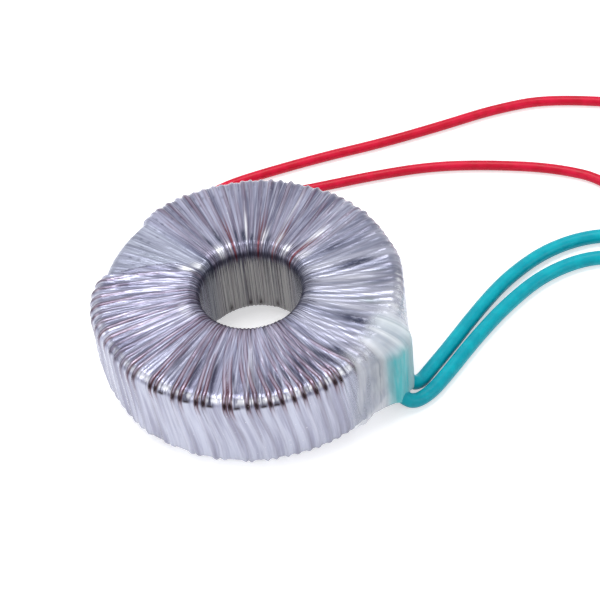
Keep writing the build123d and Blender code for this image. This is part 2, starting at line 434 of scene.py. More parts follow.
def stranded_end(name):
    """A bundle of twisted strands at the end of one lead, in line with its last stretch."""
    strand = routes[name][1] * MM / 3
    before, last = (Vector(point) for point in lead_points(name)[-2:])
    direction = (last - before).normalized()
    strands = []
    for index in range(strand_count):
        orbit = strand if index else 0
        bpy.ops.mesh.primitive_circle_add(
            vertices=strand_sides, radius=strand / 2 * nearly_touching, location=(orbit, 0, 0),
            fill_type="NGON",
        )
        piece = bpy.context.object
        settle(piece)
        bpy.ops.object.mode_set(mode="EDIT")
        take_all()
        if index:
            turn_selected(60 * index, "Z")
        for _ in range(strand_rows):
            bpy.ops.mesh.extrude_region_move(TRANSFORM_OT_translate={"value": row_step})
            if index:
                turn_selected(row_twist, "Z")
        take_all()
        bpy.ops.mesh.normals_make_consistent(inside=False)
        bpy.ops.object.mode_set(mode="OBJECT")
        strands.append(piece)
    let_go()
    for piece in strands:
        piece.select_set(True)
    bpy.context.view_layer.objects.active = strands[0]
    bpy.ops.object.join()
    tip = bpy.context.object
    tip.name = name + "_strands"
    turned = direction.to_track_quat("Z", "Y").to_matrix().to_4x4()
    tip.matrix_world = Matrix.Translation(last) @ turned
    settle(tip)
    bpy.ops.object.shade_smooth()
    return tip


tips = {name: stranded_end(name) for name in routes}

for name, piece in jackets.items():
    tip = tips[name]
    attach(piece, "root")
    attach(tip, "root")
    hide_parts(name)
    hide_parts(name + "_tip")
    lead_points(name)[0]

# %% [markdown]
# ## Film over the turns
#
# The whole ring is wrapped in clear polyester film, pulled tight over each turn of thick wire. It is
# the part's face: a ridge over every turn, valleys between them, and fine creases along the pull. A
# rounded section is drawn, spun round the axis into a fine mesh, and then each corner of the mesh is
# moved along the section's outward direction by a formula that knows where the turns lie.

# %% Section of the film
outer_radius, bore_radius = 39.4, 13.0
half_height = 11.95
outer_corner, bore_corner = 3.2, 3.2

let_go()
bpy.ops.mesh.primitive_plane_add(size=1, location=(0, 0, 0))
film = bpy.context.object
film.name = "film_wrap"
bpy.ops.object.mode_set(mode="EDIT")
take_all()
turn_selected(90, "X")
width, tall = (outer_radius - bore_radius) * MM, 2 * half_height * MM
bpy.ops.transform.resize(value=(width, 1, tall), center_override=(0, 0, 0))
bpy.ops.transform.translate(value=((outer_radius + bore_radius) / 2 * MM, 0, middle * MM))
for at_rim, at_top, offset, segments in (
    (True, True, outer_corner, 8), (True, False, outer_corner, 4),
    (False, True, bore_corner, 6), (False, False, bore_corner, 4),
):
    edge = outer_radius if at_rim else bore_radius
    level_here = middle + (half_height if at_top else -half_height)
    pick(film, lambda p: abs(p.x / MM - edge) < 0.1 and abs(p.z / MM - level_here) < 0.1)
    bpy.ops.mesh.bevel(offset=offset * MM, segments=segments, affect="VERTICES")
take_all()
bpy.ops.mesh.delete(type="ONLY_FACE")
straights = [
    (lambda p: abs(p.x / MM - outer_radius) < 0.01, 16),
    (lambda p: abs(p.x / MM - bore_radius) < 0.01, 10),
    (lambda p: 20 < p.x / MM < 30 and p.z / MM > middle, 24),
    (lambda p: 20 < p.x / MM < 30 and p.z / MM < middle, 4),
]
for test, cuts in straights:
    pick(film, test, "edges")
    bpy.ops.mesh.subdivide(number_cuts=cuts)

# %% Spin the section into a ring
columns = 1200
same_place = 0.004 * MM
take_all()
bpy.ops.mesh.spin(steps=columns, angle=2 * math.pi, center=(0, 0, 0), axis=(0, 0, 1))
take_all()
bpy.ops.mesh.remove_doubles(threshold=same_place)
bpy.ops.mesh.normals_make_consistent(inside=False)
bpy.ops.object.mode_set(mode="OBJECT")
bpy.ops.object.shade_smooth()
print("film corners", len(film.data.vertices), "faces", len(film.data.polygons))

# %% [markdown]
# ### Where each turn lies
#
# The 78 turns start at 168 degrees and go 321 degrees round. The winder laid some of them in pairs, so
# the list gives each turn's own angle at the outer rim. In the bore they lie evenly, side by side, and
# the first few fan out beside the bare stretch. Down the wall each turn leans a little.

# %% Angles of the turns
turns_at_rim = [
    168.2, 172.4, 176.9, 181.0, 185.3, 189.9, 194.2, 198.6, 203.1, 207.2, 211.4, 215.3, 218.9,
    226.7, 229.2, 236.9, 239.6, 245.8, 248.6, 256.5, 258.7, 264.9, 268.3,
    273.3, 277.5, 282.0, 285.8, 290.6, 294.3, 298.3, 300.8, 307.7,
]
chance = np.random.default_rng(7)
turn_count = 78
rest_start, rest_sweep = 312.0, 178.0
rest_count = turn_count - len(turns_at_rim)
for step in range(rest_count):
    turns_at_rim.append(rest_start + rest_sweep * (step + 0.5) / rest_count + chance.normal(0, 0.45))
turns_at_rim = np.array(turns_at_rim)
number = np.arange(turn_count)
turns_in_bore = 168.0 + 4.17 * number - 16.0 * np.exp(-number / 3.0)

# One row of draws is passed over, so that the rows after it keep their values
whole_wave = 6.28
chance.random(turn_count)
turn_wander = chance.normal(0, 0.16, turn_count)
turn_phase = chance.random(turn_count) * whole_wave
turn_height = chance.uniform(0.45, 1.05, turn_count)
turn_show = chance.uniform(0.25, 0.85, turn_count)

# At the front the turns stand out, and at the right they hardly show
for turn, rim in enumerate(turns_at_rim):
    if 224 < rim < 271:
        turn_height[turn], turn_show[turn] = chance.uniform(0.8, 1.1), 1.0
    elif 271 < rim < 310:
        turn_height[turn], turn_show[turn] = chance.uniform(0.6, 1.0), 0.8
    elif 310 < rim < 392:
        turn_height[turn], turn_show[turn] = chance.uniform(0.08, 0.25), 0.10
    elif 392 < rim:
        turn_show[turn] *= 0.7

# %% Place of every point on the section
places = points_of(film.data) / MM
round_angle = np.degrees(np.arctan2(places[:, 1], places[:, 0])) % 360
radius = np.hypot(places[:, 0], places[:, 1])
height = places[:, 2] - middle


def smooth_step(low, high, value):
    """Nought below the low value, one above the high one, and a smooth change between."""
    share = np.clip((value - low) / (high - low), 0, 1)
    return share * share * (3 - 2 * share)


def plateau(value, rise, fall):
    """One between a rise and a fall, and nought outside them."""
    return smooth_step(*rise, value) * (1 - smooth_step(*fall, value))


def bump(value, centre, width):
    """One at the centre, falling away smoothly on both sides."""
    return np.exp(-(((value - centre) / width) ** 2))


def turned_from(centre):
    """Signed degrees round the ring from a centre, for every point of the film."""
    return (round_angle - centre + 180) % 360 - 180


def arc_from(centre):
    """The same, in mm along the film."""
    return np.radians(turned_from(centre)) * radius


# Outward direction of the section at each point
bore_edge, rim_edge = bore_radius + bore_corner, outer_radius - outer_corner
inner_half, outer_half = half_height - bore_corner, half_height - outer_corner
core_half = np.where(radius < 20, inner_half, outer_half)
flat = (radius > bore_edge) & (radius < rim_edge)
out_r = np.where(flat, 0, radius - np.clip(radius, bore_edge, rim_edge))
out_z = np.where(flat, np.sign(height), height - np.clip(height, -core_half, core_half))
size = np.hypot(out_r, out_z)
out_r, out_z = out_r / size, out_z / size

# Distance along the section in mm, from under the ring, up the bore, over the top and down the wall
arc_in, arc_out = math.pi / 2 * bore_corner, math.pi / 2 * outer_corner
q_bore_low = arc_in
q_bore_high = q_bore_low + 2 * inner_half
q_top_in = q_bore_high + arc_in
q_top_out = q_top_in + (rim_edge - bore_radius - bore_corner)
q_wall_high = q_top_out + arc_out
q_wall_low = q_wall_high + 2 * outer_half
q_floor_out = q_wall_low + arc_out
upper = height > 0
turned_in, turned_out = np.arctan2(out_z, -out_r), np.arctan2(out_z, out_r)
along_bore = np.where(
    np.abs(height) < inner_half, q_bore_low + height + inner_half,
    np.where(upper, q_bore_high, q_bore_low) + bore_corner * turned_in,
)
along_flat = np.where(upper, q_top_in + radius - bore_edge, q_floor_out + (rim_edge - radius))
upper_corner = q_top_out + outer_corner * (math.pi / 2 - turned_out)
lower_corner = q_wall_low - outer_corner * turned_out
along_wall = np.where(
    np.abs(height) < outer_half, q_wall_high + outer_half - height,
    np.where(upper, upper_corner, lower_corner),
)
along = np.where(radius < bore_edge, along_bore, np.where(flat, along_flat, along_wall))

# %% Distance from each turn
# Degrees that a turn leans by from the top of the wall to its foot, and on under the ring
lean = 3.4 + 1.8 * bump(round_angle, 262, 20) - 1.4 * bump(round_angle, 195, 25)
lean = lean * smooth_step(q_top_out, q_wall_low, along)
lean = lean * (1 - smooth_step(q_floor_out, q_floor_out + 14, along))
rim_share = np.clip((along - q_bore_high) / (q_top_out - q_bore_high), 0, 1)


def side_of(rim, bore, wander=0.0, phase=0.0):
    """Signed distance in mm of every point from one line that goes from the bore to the rim."""
    return arc_from(bore + (rim - bore) * rim_share + lean + wander * np.sin(0.16 * along + phase))


near_side = np.full(len(along), 99.0)
nearest = np.zeros(len(along), int)
for turn, line in enumerate(zip(turns_at_rim, turns_in_bore, turn_wander, turn_phase)):
    side = side_of(*line)
    closer = np.abs(side) < np.abs(near_side)
    near_side = np.where(closer, side, near_side)
    nearest = np.where(closer, turn, nearest)
distance = np.abs(near_side)

# %% Ridges, valleys and creases
path = [0, q_bore_high, q_top_in, q_top_out, q_wall_high, q_wall_low, q_floor_out]
half_width = np.interp(along, path, [0.5, 0.5, 0.62, 0.95, 0.95, 1.05, 0.9])
ridge_rise = np.interp(
    along,
    [0, q_bore_low, q_bore_high, q_top_in, q_top_in + 10, q_top_out, q_wall_high, q_wall_high + 5,
     q_wall_low, q_floor_out, q_floor_out + 20],
    [0.2, 0.16, 0.2, 0.3, 0.38, 0.55, 0.58, 0.4, 0.5, 0.55, 0.3],
)
from_x_axis = turned_from(0)
reach = np.clip(distance / half_width, 0, 1)
tent = 0.6 * (0.5 + 0.5 * np.cos(math.pi * reach)) + 0.4 * (1 - reach)
under_tape = bump(from_x_axis, -34, 20) * smooth_step(q_top_out, q_wall_high, along)
ridge = tent * ridge_rise * turn_height[nearest] * (1 - 0.8 * under_tape)

# The bare stretch, where no thick wire lies under the film: narrow at the bore, wide at the rim
recess_depth = -1.15
gap_start = np.interp(along, [q_bore_high, q_top_out], [133.0, 132.6]) + lean
gap_end = np.interp(along, [q_bore_high, q_top_in + 5, q_top_out], [147.0, 149.0, 164.8]) + lean * 0.2
into_gap = smooth_step(-0.9, 0.9, round_angle - gap_start)
into_gap = into_gap * (1 - smooth_step(-0.5, 0.5, round_angle - gap_end))
ridge = ridge * (1 - into_gap)
recess = recess_depth * into_gap * np.interp(along, [q_bore_high - 4, q_top_in + 3], [0.15, 1.0])


def creases(count, low, high, drift, tag):
    """Fine folds that run along the film's pull: many waves round the ring that drift as they go."""
    maker = np.random.default_rng(tag)
    total = np.zeros(len(along))
    for _ in range(count):
        waves, start = maker.integers(low, high), maker.random() * whole_wave
        amount = drift * maker.normal()
        bend = np.sin(along * maker.uniform(0.05, 0.25) + maker.random() * whole_wave)
        total += np.sin(waves * lay_angle + start + amount * bend)
    return total / math.sqrt(count)


lay_angle = np.radians(round_angle - lean)
calm = np.exp(-((from_x_axis + 8) / 44) ** 4)
fold_height, crease_height, sag_height = 0.045, 0.02, 0.10
fold = fold_height * creases(9, 60, 240, 2.2, 3) + crease_height * creases(8, 200, 420, 3.0, 5)
fold = fold * (1 - 0.8 * calm)
sag = sag_height * creases(5, 4, 20, 1.2, 9)
fold_share = np.interp(along, path, [0.5, 0.5, 0.8, 1.2, 1.0, 0.8, 0.5])
bulge = 1.5 * bump(round_angle, 180, 15) + 0.5 * bump(round_angle, 210, 20)
bulge *= smooth_step(165.0, 168.0, round_angle)
bulge *= plateau(along, (q_top_out - 6, q_wall_high), (q_wall_low - 6, q_floor_out))
lift = ridge + recess + fold * fold_share - 0.06
lift += sag * (along > q_top_in) * (1 - smooth_step(q_wall_low, q_floor_out, along))
lift = np.clip(lift, np.where(into_gap > 0.5, -1.2, -0.22 - 0.95 * into_gap), 0.62)
new_radius = radius + lift * out_r + bulge
new_height = np.maximum(height + lift * out_z + middle, 0.0)
new_places = ring_places(new_radius, np.radians(round_angle), new_height)
set_points(film.data, new_places * MM)

# %% [markdown]
# ### What is painted where
#
# Much of the film's look is not its own colour. The wire's two dark edges show through it. The dark slot
# that stays open beside a pair is painted shade, the short black mark where the film turns sharply over the
# corner is painted shade and dark reflection, and the white flash just above it is a painted highlight. Each
# is a soft mask on the mesh that the finish reads.


# %% Masks on the film
def mark(mesh, name, values, kind="FLOAT"):
    """Store one value, or one direction, at every corner of a mesh."""
    layer = mesh.attributes.new(name, kind, "POINT")
    field = "value" if kind == "FLOAT" else "vector"
    layer.data.foreach_set(field, np.asarray(values, np.float32).ravel())


# The line where the film turns sharply over the outer corner, and half of the wire's width as it shows
q_line = q_top_out + 0.70 * arc_out
wire_half = 0.42
wire_show = turn_show[nearest] * (1 - into_gap) * np.interp(
    along,
    [q_bore_high, q_top_in, q_top_in + 8, q_top_out - 4, q_line, q_wall_high + 3, q_wall_low],
    [0.3, 0.5, 0.55, 0.85, 1.0, 0.12, 0.04],
)

rim_groups = np.zeros(len(along))
for centre in (136.8, 102.3, 76.9, 59.6, 36.9):
    near_bore = plateau(along, (q_bore_high - 2, q_bore_high + 1), (q_top_in + 3, q_top_in + 13))
    rim_groups += bump(turned_from(centre), 0, 2.6) * near_bore

# (angle at the rim, half width, reach inwards, strength) of the painted shade in the open slot beside a pair
slot_shade_plans = [
    (170.3, 0.30, 9, 0.45), (178.8, 0.28, 9, 0.4), (187.4, 0.30, 10, 0.45), (196.3, 0.30, 9, 0.4),
    (205.0, 0.35, 9, 0.5), (213.2, 0.35, 9, 0.5), (220.9, 0.45, 12, 0.45), (231.3, 0.80, 15, 0.65),
    (241.6, 0.80, 14, 0.8), (250.8, 0.80, 14, 0.9), (260.6, 0.50, 9, 0.85), (266.6, 0.25, 6, 0.8),
    (270.3, 0.50, 7, 0.75), (275.3, 0.45, 8, 0.7), (279.6, 0.5, 9, 0.75), (283.8, 0.45, 10, 0.75),
    (288.2, 0.5, 11, 0.8), (292.4, 0.6, 12, 0.85), (296.2, 0.6, 12, 0.85), (299.6, 0.4, 9, 0.8),
    (303.9, 0.9, 10, 0.85), (309.6, 1.2, 9, 0.9), (316.5, 0.6, 7, 0.5), (324.5, 0.7, 9, 0.45),
    (53.0, 0.4, 8, 0.4), (68.0, 0.35, 9, 0.4), (84.0, 0.4, 9, 0.45), (99.0, 0.35, 8, 0.4),
    (118.0, 0.4, 10, 0.5),
]
# Painted shade: a dark streak in the slot beside each pair, from inside the top out to the corner line
slot = np.zeros(len(along))
for rim, wide, inwards, strength in slot_shade_plans:
    rim_full = rim if rim > 150 else rim + 360
    side = side_of(rim, np.interp(rim_full, turns_at_rim, turns_in_bore), 0.12, rim)
    width = wide * (0.4 + 0.6 * bump(along, q_top_out - 0.45 * inwards, 0.35 * inwards))
    inner_end = (q_top_out - inwards, q_top_out - 0.5 * inwards)
    ends = plateau(along, inner_end, (q_line - 0.8, q_line + 0.5))
    slot = np.maximum(slot, strength * bump(side, 0, width) * ends)

front = plateau(round_angle, (212, 226), (306, 326))
left = plateau(round_angle, (164, 170), (212, 226))
# Painted shade and dark reflection: a short near-black mark over each turn where the film turns over the
# outer corner, strongest at the front
corner_mark = bump(distance, 0, 0.46) * bump(along, q_line - 0.35, 1.0)
corner_mark *= (0.15 + 0.8 * front + 0.2 * left) * (1 - into_gap)
red_edges = bump(np.abs(distance - wire_half), 0, 0.20) * bump(along, q_line - 2.2, 2.8)
red_edges *= (0.75 * front + 0.35 * left) * (1 - into_gap)
# Wider bands of the same painted shade on the front pairs, right at the corner line
for rim in (231.4, 241.8, 250.9, 260.9, 270.7, 275.4):
    band = np.exp(-(side_of(rim, rim) / 0.95) ** 4) * bump(along, q_line + 0.1, 0.42)
    corner_mark = np.maximum(corner_mark, 0.8 * band)

# Short marks of painted shade at the bore's corners: (angles, where along the section, half length,
# strength)
for centres, at, half_length, strength in (
    ((262.5, 282.8, 233.3, 311.0, 222.0), q_bore_high + 1.6, 1.3, 1.0),
    ((60.0, 80.5, 92.5, 116.0), q_bore_low + 0.4, 1.0, 0.9),
):
    for centre in centres:
        short = bump(arc_from(centre), 0, 0.42) * bump(along, at, half_length)
        corner_mark = np.maximum(corner_mark, strength * short)

# Painted highlight: a white band on the top just inside the corner line, widest near the teal leads, kept
# off the painted shade of the slots
flash = (1 - bump(distance, 0, 0.62)) * bump(along, q_line - 1.5, 0.8) * np.interp(
    round_angle,
    [0, 5, 40, 160, 190, 225, 285, 300, 340, 352, 360],
    [0.3, 0.12, 0.1, 0.1, 0.25, 0.5, 0.9, 1.0, 1.0, 0.7, 0.5],
)
flash = np.maximum(flash, bump(from_x_axis, -27, 13) * bump(along, q_line - 1.2, 2.4))
flash *= 1 - np.clip(slot * 1.3, 0, 1)

# (angle, radius, half angle, half length, strength) of soft patches: the dark ones are painted dark
# reflections, the grey ones turn the film greyer, and the pale ones are painted highlights
dark_reflection_plans = [
    (7.5, 27.5, 2.9, 5.5, 1.0), (24.0, 24.7, 1.7, 3.4, 0.8), (328.5, 30.0, 2.7, 5.0, 0.95),
    (309.0, 33.5, 1.7, 3.6, 0.95), (300.3, 29.5, 1.3, 4.0, 0.7), (111.2, 19.4, 1.8, 2.8, 1.0),
    (119.5, 19.0, 1.4, 2.6, 0.8), (91.1, 17.6, 2.2, 2.6, 1.0), (97.0, 18.0, 1.4, 2.8, 0.9),
    (84.0, 16.8, 1.5, 2.2, 1.0), (68.3, 16.4, 2.0, 2.0, 0.9), (153.8, 20.7, 2.0, 1.9, 0.7),
    (45.0, 19.0, 2.0, 1.8, 0.35), (224.4, 24.0, 1.0, 3.5, 0.4), (14.0, 36.0, 1.2, 2.6, 0.35),
    (350.0, 24.0, 1.2, 4.0, 0.2),
]
grey_plans = [
    (341.8, 31.5, 2.0, 4.0, 0.9), (352.0, 30.0, 1.2, 5.0, 0.4), (0.5, 33.0, 1.0, 4.0, 0.35),
    (148.0, 28.0, 2.0, 6.0, 0.3),
]
highlight_patch_plans = [
    (152.0, 17.9, 3.0, 1.6, 0.95), (143.0, 16.3, 3.2, 1.5, 0.95), (116.4, 15.2, 4.0, 1.4, 0.9),
    (106.5, 15.6, 1.5, 1.6, 0.8), (59.6, 17.0, 1.6, 2.4, 0.8), (73.1, 17.7, 2.2, 2.2, 0.75),
    (48.0, 15.4, 3.0, 1.4, 0.8), (39.0, 23.6, 1.4, 4.0, 0.6), (88.5, 20.5, 0.7, 5.0, 0.8),
    (30.0, 17.0, 3.0, 2.0, 0.45), (12.0, 20.0, 2.5, 4.0, 0.25), (357.0, 25.0, 2.6, 6.0, 0.25),
    (336.0, 26.0, 1.5, 5.0, 0.25), (62.0, 27.0, 0.8, 7.0, 0.4), (200.0, 18.0, 8.0, 1.2, 0.3),
    (267.0, 27.0, 1.6, 6.0, 0.3),
]


def patches(plans):
    """Soft oval patches on the ring's top. The strongest wins where they meet."""
    total = np.zeros(len(along))
    for place_angle, place_radius, half_angle, half_length, strength in plans:
        spot = bump(turned_from(place_angle), 0, half_angle) * bump(radius, place_radius, half_length)
        total = np.maximum(total, strength * spot)
    return total * (along > q_bore_high) * (along < q_wall_high)


far_side = 84
mark(film.data, "lay", ring_places(wall_radius, lay_angle, along), "FLOAT_VECTOR")
for name, values in {
    "along": along, "turn_distance": distance, "wire_show": wire_show, "gap": into_gap, "calm": calm,
    "slot": slot, "corner_mark": corner_mark, "red_edges": red_edges,
    "rim_groups": np.clip(rim_groups, 0, 1), "flash": np.clip(flash, 0, 1),
    "dark_patch": patches(dark_reflection_plans), "grey_patch": patches(grey_plans), "pale_patch": patches(highlight_patch_plans),
    # Where small painted highlights are strewn, most on the wall at the front
    "fleck_area": 0.25 + 0.75 * bump(round_angle, 270, 16) * (along > q_line + 1),
    "rim_path": along - 1.3 * np.sin(np.radians(from_x_axis - far_side)) ** 2,
    "bore_side": 0.8 * smooth_step(30, 75, np.abs(from_x_axis - far_side)),
    # Painted shade round the ring: the lower the number, the darker that side is painted, most at the right
    "tone": np.interp(
        round_angle,
        [0, 30, 60, 90, 130, 166, 200, 225, 262, 300, 330, 360],
        [0.66, 0.73, 0.84, 0.83, 0.82, 0.90, 0.87, 0.82, 0.96, 0.88, 0.68, 0.64],
    ),
}.items():
    mark(film.data, name, values)
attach(film, "root")
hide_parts("outer_wrap")

# %% [markdown]
# ## Finish of the film
#
# Clear film over bright copper looks silvery and a little lavender. The colour is laid on in coats: a slate
# ground with pale bands along the pull, then the wire, painted shade in the slots and at the corners,
# painted dark reflections and painted highlights.


# %% Ground of the film
film_material, tree = new_material("film_over_copper")
lay = attribute(tree, "lay", "Vector")
along_film, turn_distance = attribute(tree, "along"), attribute(tree, "turn_distance")


def film_noise(stretch, size, detail, roughness=0.55, across=1):
    """Noise that is drawn out along the film's pull."""
    return stretched_noise(tree, lay, (across, across, stretch), size, detail, roughness)


def masked(name, factor, clamp=False):
    """A mask of the film, times a number or a pattern."""
    return times(tree, attribute(tree, name), factor, clamp)


bands = film_noise(0.07, 0.38, 4)
fine_bands = film_noise(0.05, 1.5, 3)
hairs = film_noise(0.03, 4.0, 2)
clouds = film_noise(0.22, 0.16, 3)
ground = coats(
    tree, (0.15, 0.15, 0.24),
    (ramp(tree, bands, 0.36, 0.66), (0.46, 0.47, 0.63)),
    (ramp(tree, fine_bands, 0.50, 0.74, 0, 0.7), (0.62, 0.64, 0.78)),
    (ramp(tree, fine_bands, 0.46, 0.30, 0, 0.6), (0.10, 0.09, 0.15)),
    (ramp(tree, hairs, 0.58, 0.74, 0, 0.35), (0.75, 0.76, 0.88)),
)
calm_colour = coats(
    tree, (0.24, 0.26, 0.37),
    (ramp(tree, clouds, 0.38, 0.60), (0.60, 0.62, 0.76)),
    (ramp(tree, fine_bands, 0.48, 0.34, 0, 0.3), (0.18, 0.18, 0.26)),
)
gap_colour = coats(tree, (0.30, 0.32, 0.42), (ramp(tree, fine_bands, 0.36, 0.66), (0.52, 0.56, 0.68)))
# Painted shade by side of the ring, blended towards black
shade = maths(tree, "SUBTRACT", 1.0, attribute(tree, "tone"))
ground = coats(
    tree, ground,
    (masked("calm", 0.8), calm_colour),
    (masked("gap", 0.65), gap_colour),
    (shade, (0, 0, 0)),
)

# %% Wall and bore of the film
on_wall = ramp(tree, along_film, q_line - 0.4, q_line + 0.8)
wall_bands = film_noise(0.06, 0.55, 3)
wall_lines = times(tree, ramp(tree, turn_distance, 0.75, 0.35), ramp(tree, wall_bands, 0.62, 0.42))
# The wall is painted paler than the top, as a painted reflection of the pale floor, with bands and lines
# over it
wall_colour = coats(
    tree, (0.36, 0.36, 0.47),
    (ramp(tree, wall_bands, 0.34, 0.62), (0.60, 0.62, 0.74)),
    (ramp(tree, fine_bands, 0.46, 0.32, 0, 0.25), (0.26, 0.25, 0.33)),
    (times(tree, wall_lines, 0.28), (0.30, 0.30, 0.37)),
)
in_bore = ramp(tree, along_film, q_bore_high + 1.5, q_bore_high - 2)
bore_bands = film_noise(0.05, 0.8, 3, across=2.4)
bore_colour = coats(
    tree, (0.10, 0.10, 0.11),
    (ramp(tree, bore_bands, 0.34, 0.60), (0.41, 0.405, 0.385)),
    (attribute(tree, "bore_side"), (0.10, 0.11, 0.17)),
)

# A painted dark reflection and shade runs round the bore's rim, and reaches unevenly down into it
rim_shade_reach = ramp(tree, bore_bands, 0.65, 0.35, -2.5, 3.0)
rim_shade_reach = maths(tree, "ADD", attribute(tree, "rim_path"), rim_shade_reach)
rim_shade_low = ramp(tree, rim_shade_reach, q_bore_high - 3.5, q_bore_high)
rim_shade_high = ramp(tree, rim_shade_reach, q_bore_high + 5.0, q_bore_high + 2.5)
rim_shade = times(tree, rim_shade_low, rim_shade_high)
ground = coats(
    tree, ground,
    (times(tree, on_wall, 0.9), wall_colour),
    (times(tree, in_bore, 0.95), bore_colour),
    (times(tree, rim_shade, 0.85), (0.022, 0.024, 0.05)),
)

# %% Wire that shows through
wire_noise = film_noise(0.22, 0.45, 3)
shown = masked("wire_show", ramp(tree, wire_noise, 0.34, 0.56, 0.15, 1.0))
band = times(tree, ramp(tree, turn_distance, wire_half, 0.18), shown)
off_edge = maths(tree, "ABSOLUTE", maths(tree, "SUBTRACT", turn_distance, wire_half))
edge_line = times(tree, ramp(tree, off_edge, 0.24, 0.06), shown)
groups = masked("rim_groups", ramp(tree, off_edge, 0.34, 0.10))
ground = coats(
    tree, ground,
    (times(tree, band, 0.55), (0.40, 0.27, 0.34)),
    (times(tree, edge_line, 0.9), (0.11, 0.022, 0.035)),
    (times(tree, groups, 0.9), (0.13, 0.02, 0.03)),
)

# %% Painted shade, reflections and highlights, greyer patches and the wire's edges
broken = film_noise(0.5, 0.9, 4)
# Small white flecks of painted highlight
highlight_flecks = film_noise(0.8, 1.3, 3, 0.7)
# Painted shade in the slots, broken up by the fine bands
slot_shade_share = masked("slot", ramp(tree, fine_bands, 0.66, 0.44, 0.35, 1.0))
# Painted dark reflections and painted highlights in patches, broken up by noise
dark_reflection_share = masked("dark_patch", ramp(tree, broken, 0.36, 0.52, 0.45, 1.25))
grey_share = masked("grey_patch", ramp(tree, broken, 0.34, 0.58, 0.3, 1.0))
highlight_patch_share = masked("pale_patch", ramp(tree, fine_bands, 0.36, 0.56, 0.2, 1.1))
# Painted highlight along the outer corner
corner_highlight_share = masked("flash", ramp(tree, broken, 0.36, 0.54, 0.2, 1.1))
colour = coats(
    tree, ground,
    (times(tree, slot_shade_share, 1.15, True), (0.032, 0.030, 0.062)),
    (times(tree, dark_reflection_share, 1.0, True), (0.045, 0.05, 0.09)),
    (grey_share, (0.17, 0.20, 0.22)),
    (times(tree, highlight_patch_share, 1.0, True), (0.93, 0.94, 0.98)),
    (times(tree, corner_highlight_share, 1.0, True), (0.95, 0.96, 0.99)),
    (masked("red_edges", 1.1, True), (0.06, 0.006, 0.012)),
    (masked("corner_mark", 1.5, True), (0.012, 0.002, 0.005)),
    (masked("fleck_area", ramp(tree, highlight_flecks, 0.67, 0.72)), (0.96, 0.97, 0.99)),
)

# %% Gloss and creases of the film
crackle = film_noise(0.16, 2.6, 4, 0.6)
soft_dents = film_noise(0.4, 0.6, 3)
calm_mark = attribute(tree, "calm")
dents = bumped(tree, soft_dents, ramp(tree, calm_mark, 0.0, 1.0, 0.35, 0.10), 0.0006)
creased = bumped(tree, crackle, ramp(tree, calm_mark, 0.0, 1.0, 0.3, 0.14), 0.0003, dents)
surface(tree, {
    "Base Color": colour, "Metallic": 0.45, "Roughness": 0.24, "IOR": 1.32,
    "Coat Weight": 0.12, "Coat Roughness": 0.06, "Normal": creased,
})
film.data.materials.append(film_material)

# %% [markdown]
# ## Tape on the leads
#
# Each pair of leads is held against the wall by a wide strip of the same clear film. It is stretched
# over both leads, comes down to the wall on each side of them, and laps round the ring. A fine grid is
# laid along the outline of ring and leads, wrinkled, and given a thin wall.

# %% Tape on the leads
tape_play, landing_width = 0.45, 10


def outline_radius(directions, circles):
    """How far a film stretched round circles reaches in each direction, in mm."""
    turns = [2 * math.pi * k / 48 for k in range(48)]
    points = np.array([(x + r * math.cos(a), y + r * math.sin(a)) for x, y, r in circles for a in turns])
    reach = np.zeros(len(directions))
    for k, direction in enumerate(directions):
        a = math.radians(direction)
        ray, across = np.array([math.cos(a), math.sin(a)]), np.array([-math.sin(a), math.cos(a)])
        side, far = points @ across, points @ ray
        left, right = side >= 0, side < 0
        if left.any() and right.any():
            s1, s2 = side[left][:, None], side[right][None, :]
            f1, f2 = far[left][:, None], far[right][None, :]
            reach[k] = (f1 + (f2 - f1) * s1 / (s1 - s2)).max()
    return reach


def tape_circles(pair, landing):
    """Circles in mm that a tape is stretched round: both leads, and the wall where it lands."""
    circles = [(x, y, thick + tape_play) for x, y, thick in map(lead_place, pair)]
    for degrees in landing:
        a = math.radians(degrees)
        circles.append((40.05 * math.cos(a), 40.05 * math.sin(a), 0.1))
    return circles


